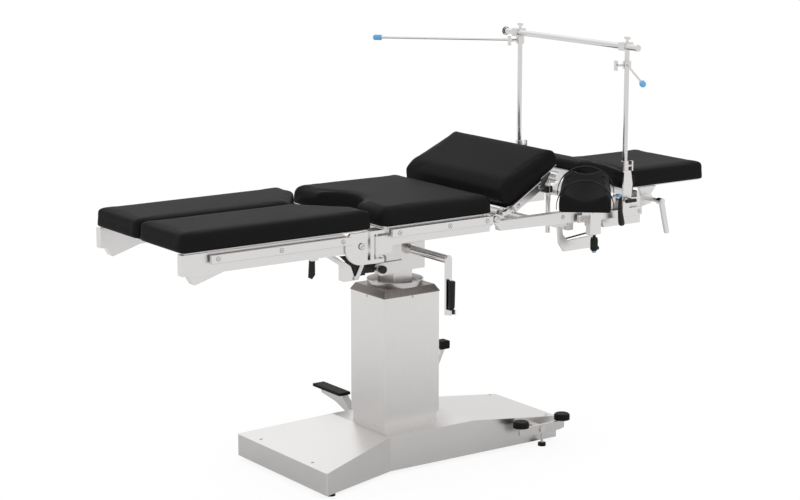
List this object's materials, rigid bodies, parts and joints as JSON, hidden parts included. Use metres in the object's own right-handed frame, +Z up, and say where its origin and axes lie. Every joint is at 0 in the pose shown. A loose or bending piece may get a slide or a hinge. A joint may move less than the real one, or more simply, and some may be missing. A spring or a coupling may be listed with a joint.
{
  "type": "operating table",
  "caption": "Operating table with hydraulic column on a wide-ended base, split leg rests, seat with notch, raised kidney bridge, head rest, screen frame and padded arm support on side rails",
  "frame": {"origin": "the sole of the levelling foot at the foot end on the crank side, on the floor", "axes": "+X to the head end along the table top, +Y across to the side with the pump pedal, +Z up"},
  "size_m": [2.065, 1.3141, 1.33],
  "materials": {
    "stainless": "satin stainless sheet, fine brushing along the long side",
    "stainless_cast": "satin stainless casting, a little darker",
    "bright_steel": "polished bright steel bar",
    "upholstery": "matte charcoal covering with a fine grain",
    "black_plastic": "matte black moulded plastic",
    "black_rubber": "matte black ribbed rubber",
    "blue_plastic": "satin light blue end caps"
  },
  "bodies": {
    "base": {"base_cover": "stainless", "base_chassis": "stainless", "levelling_feet": "black_rubber", "column_inner_cover": "stainless", "lift_cylinder": "stainless_cast"},
    "caster_swivel_near": {"caster_fork_near": "stainless_cast"},
    "caster_swivel_far": {"caster_fork_far": "stainless_cast"},
    "caster_roll_near": {"caster_wheel_near": "black_rubber"},
    "caster_roll_far": {"caster_wheel_far": "black_rubber"},
    "brake": {"brake_rocker": "stainless_cast", "brake_treads": "black_rubber"},
    "pump_pedal": {"pump_pedal_arm": "stainless_cast", "pump_pedal_tread": "black_rubber"},
    "release_pedal": {"release_pedal_arm": "stainless_cast", "release_pedal_tread": "black_rubber"},
    "lift": {"column_cover": "stainless", "column_cap": "stainless_cast", "splash_dish": "stainless_cast", "neck_post": "stainless_cast"},
    "tilt_head": {"tilt_block": "stainless_cast"},
    "seat": {"seat_frame": "stainless", "seat_pad": "upholstery", "seat_rails": "stainless"},
    "crank": {"crank_arm": "stainless"},
    "grip": {"crank_grip": "black_plastic"},
    "leg_bracket_n": {"leg_bracket_near": "stainless"},
    "leg_bracket_f": {"leg_bracket_far": "stainless"},
    "leg_near": {"leg_frame_near": "stainless", "leg_pad_near": "upholstery", "leg_rail_near": "stainless"},
    "leg_far": {"leg_frame_far": "stainless", "leg_pad_far": "upholstery", "leg_rail_far": "stainless"},
    "leg_release_n": {"leg_release_lever_near": "black_plastic"},
    "leg_release_f": {"leg_release_lever_far": "black_plastic"},
    "back": {"back_frame": "stainless", "back_rails": "stainless", "head_bracket": "stainless", "screen_clamps": "stainless", "screen_knobs": "black_plastic"},
    "back_release": {"back_release_handle": "stainless"},
    "kidney": {"kidney_bar": "bright_steel", "kidney_yoke": "black_plastic"},
    "flap_lower": {"lower_flap_frame": "stainless", "lower_flap_pad": "upholstery"},
    "flap_upper": {"upper_flap_frame": "stainless", "upper_flap_pad": "upholstery"},
    "head": {"head_plate": "stainless", "head_pad": "upholstery"},
    "head_lever": {"head_clamp_lever": "bright_steel"},
    "screen": {"screen_posts": "bright_steel", "screen_bar": "bright_steel"},
    "arm_near": {"screen_arm_near": "bright_steel"},
    "arm_far": {"screen_arm_far": "bright_steel"},
    "support": {"support_clamp": "stainless"},
    "knob": {"support_knob": "black_plastic"},
    "cradle": {"support_cradle": "stainless", "support_trough": "upholstery", "support_straps": "black_plastic"},
    "handle": {"support_lever": "black_plastic"}
  },
  "joints": [
    {"name": "caster_swivel_near_turn", "type": "hinge", "parent": "base", "child": "caster_swivel_near", "pos_m": [0.867, 0.116, 0.045], "axis": [0, 0, 1], "continuous": true},
    {"name": "caster_swivel_far_turn", "type": "hinge", "parent": "base", "child": "caster_swivel_far", "pos_m": [0.867, 0.34, 0.045], "axis": [0, 0, 1], "continuous": true},
    {"name": "caster_roll_near_turn", "type": "hinge", "parent": "caster_swivel_near", "child": "caster_roll_near", "pos_m": [0.853, 0.116, 0.018], "axis": [0, 1, 0], "continuous": true},
    {"name": "caster_roll_far_turn", "type": "hinge", "parent": "caster_swivel_far", "child": "caster_roll_far", "pos_m": [0.853, 0.34, 0.018], "axis": [0, 1, 0], "continuous": true},
    {"name": "brake_rock", "type": "hinge", "parent": "base", "child": "brake", "pos_m": [0.836, 0.023, 0.064], "axis": [0, 1, 0], "range_deg": [-6, 6]},
    {"name": "pump_press", "type": "hinge", "parent": "base", "child": "pump_pedal", "pos_m": [0.347, 0.366, 0.1], "axis": [-1, 0, 0], "range_deg": [0, 12], "stiffness_Nm_per_rad": 30, "springref_deg": -11.46},
    {"name": "release_press", "type": "hinge", "parent": "base", "child": "release_pedal", "pos_m": [0.642, 0.428, 0.09], "axis": [0, 1, 0], "range_deg": [0, 10], "stiffness_Nm_per_rad": 12, "springref_deg": -11.46},
    {"name": "column_lift", "type": "slide", "parent": "base", "child": "lift", "axis": [0, 0, 1], "range_m": [-0.025, 0.25]},
    {"name": "lateral_tilt", "type": "hinge", "parent": "lift", "child": "tilt_head", "pos_m": [0.397, 0.228, 0.652], "axis": [1, 0, 0], "range_deg": [-15, 15]},
    {"name": "trendelenburg", "type": "hinge", "parent": "tilt_head", "child": "seat", "pos_m": [0.397, 0.228, 0.738], "axis": [0, -1, 0], "range_deg": [-20, 20]},
    {"name": "crank_turn", "type": "hinge", "parent": "tilt_head", "child": "crank", "pos_m": [0.381, 0.028, 0.698], "axis": [0, 1, 0], "range_deg": [-600, 600]},
    {"name": "grip_fold", "type": "hinge", "parent": "crank", "child": "grip", "pos_m": [0.381, -0.097, 0.537], "axis": [1, 0, 0], "range_deg": [0, 90]},
    {"name": "leg_spread_near", "type": "hinge", "parent": "seat", "child": "leg_bracket_n", "pos_m": [0.157, -0.018, 0.76], "axis": [0, 0, 1], "range_deg": [0, 60]},
    {"name": "leg_spread_far", "type": "hinge", "parent": "seat", "child": "leg_bracket_f", "pos_m": [0.157, 0.474, 0.76], "axis": [0, 0, -1], "range_deg": [0, 60]},
    {"name": "leg_fold_near", "type": "hinge", "parent": "leg_bracket_n", "child": "leg_near", "pos_m": [0.0882, -0.02, 0.767], "axis": [0, 1, 0], "range_deg": [-90, 0]},
    {"name": "leg_fold_far", "type": "hinge", "parent": "leg_bracket_f", "child": "leg_far", "pos_m": [0.0882, 0.476, 0.767], "axis": [0, 1, 0], "range_deg": [-90, 0]},
    {"name": "leg_release_near", "type": "hinge", "parent": "leg_near", "child": "leg_release_n", "pos_m": [-0.061, -0.0005, 0.747], "axis": [0, 1, 0], "range_deg": [0, 12], "stiffness_Nm_per_rad": 2, "springref_deg": -11.46},
    {"name": "leg_release_far", "type": "hinge", "parent": "leg_far", "child": "leg_release_f", "pos_m": [-0.061, 0.4565, 0.747], "axis": [0, 1, 0], "range_deg": [0, 12], "stiffness_Nm_per_rad": 2, "springref_deg": -11.46},
    {"name": "back_fold", "type": "hinge", "parent": "seat", "child": "back", "pos_m": [0.5966, 0.228, 0.7926], "axis": [0, -1, 0], "range_deg": [-15, 12]},
    {"name": "back_release_pull", "type": "hinge", "parent": "back", "child": "back_release", "pos_m": [0.889, 0.014, 0.742], "axis": [0, -1, 0], "range_deg": [0, 12], "stiffness_Nm_per_rad": 8, "springref_deg": -11.46},
    {"name": "flap_lower_fold", "type": "hinge", "parent": "back", "child": "flap_lower", "pos_m": [0.629, 0.228, 0.806], "axis": [0, -1, 0], "range_deg": [-31, 0]},
    {"name": "flap_upper_fold", "type": "hinge", "parent": "back", "child": "flap_upper", "pos_m": [1.177, 0.228, 0.803], "axis": [0, 1, 0], "range_deg": [-21, 0]},
    {"name": "kidney_lift", "type": "slide", "parent": "back", "child": "kidney", "axis": [0, 0, 1], "range_m": [-0.092, 0]},
    {"name": "head_tilt", "type": "hinge", "parent": "back", "child": "head", "pos_m": [1.292, 0.228, 0.775], "axis": [0, -1, 0], "range_deg": [-30, 30]},
    {"name": "head_clamp_turn", "type": "hinge", "parent": "back", "child": "head_lever", "pos_m": [1.292, -0.019, 0.775], "axis": [0, -1, 0], "range_deg": [0, 60]},
    {"name": "screen_height", "type": "slide", "parent": "back", "child": "screen", "axis": [0, 0, 1], "range_m": [-0.065, 0.02]},
    {"name": "arm_near_swing", "type": "hinge", "parent": "screen", "child": "arm_near", "pos_m": [1.109, -0.047, 1.241], "axis": [0, 0, 1], "range_deg": [-60, 60]},
    {"name": "arm_far_swing", "type": "hinge", "parent": "screen", "child": "arm_far", "pos_m": [1.109, 0.503, 1.273], "axis": [0, 0, 1], "range_deg": [-60, 60]},
    {"name": "support_slide", "type": "slide", "parent": "back", "child": "support", "axis": [1, 0, 0], "range_m": [-0.025, 0.015]},
    {"name": "knob_turn", "type": "hinge", "parent": "support", "child": "knob", "pos_m": [0.968, -0.068, 0.68], "axis": [0, 0, 1], "continuous": true},
    {"name": "cradle_swing", "type": "hinge", "parent": "support", "child": "cradle", "pos_m": [0.968, -0.068, 0.794], "axis": [0, 0, 1], "range_deg": [0, 25]},
    {"name": "handle_turn", "type": "hinge", "parent": "support", "child": "handle", "pos_m": [1.055, -0.079, 0.822], "axis": [0, -1, 0], "range_deg": [-10, 15]}
  ],
  "couplings": [
    {"joint": "crank_turn", "follows": "trendelenburg", "ratio": 30},
    {"joint": "flap_upper_fold", "follows": "flap_lower_fold", "ratio": 0.67742},
    {"joint": "kidney_lift", "follows": "flap_lower_fold", "m_per_rad": 0.17004}
  ]
}
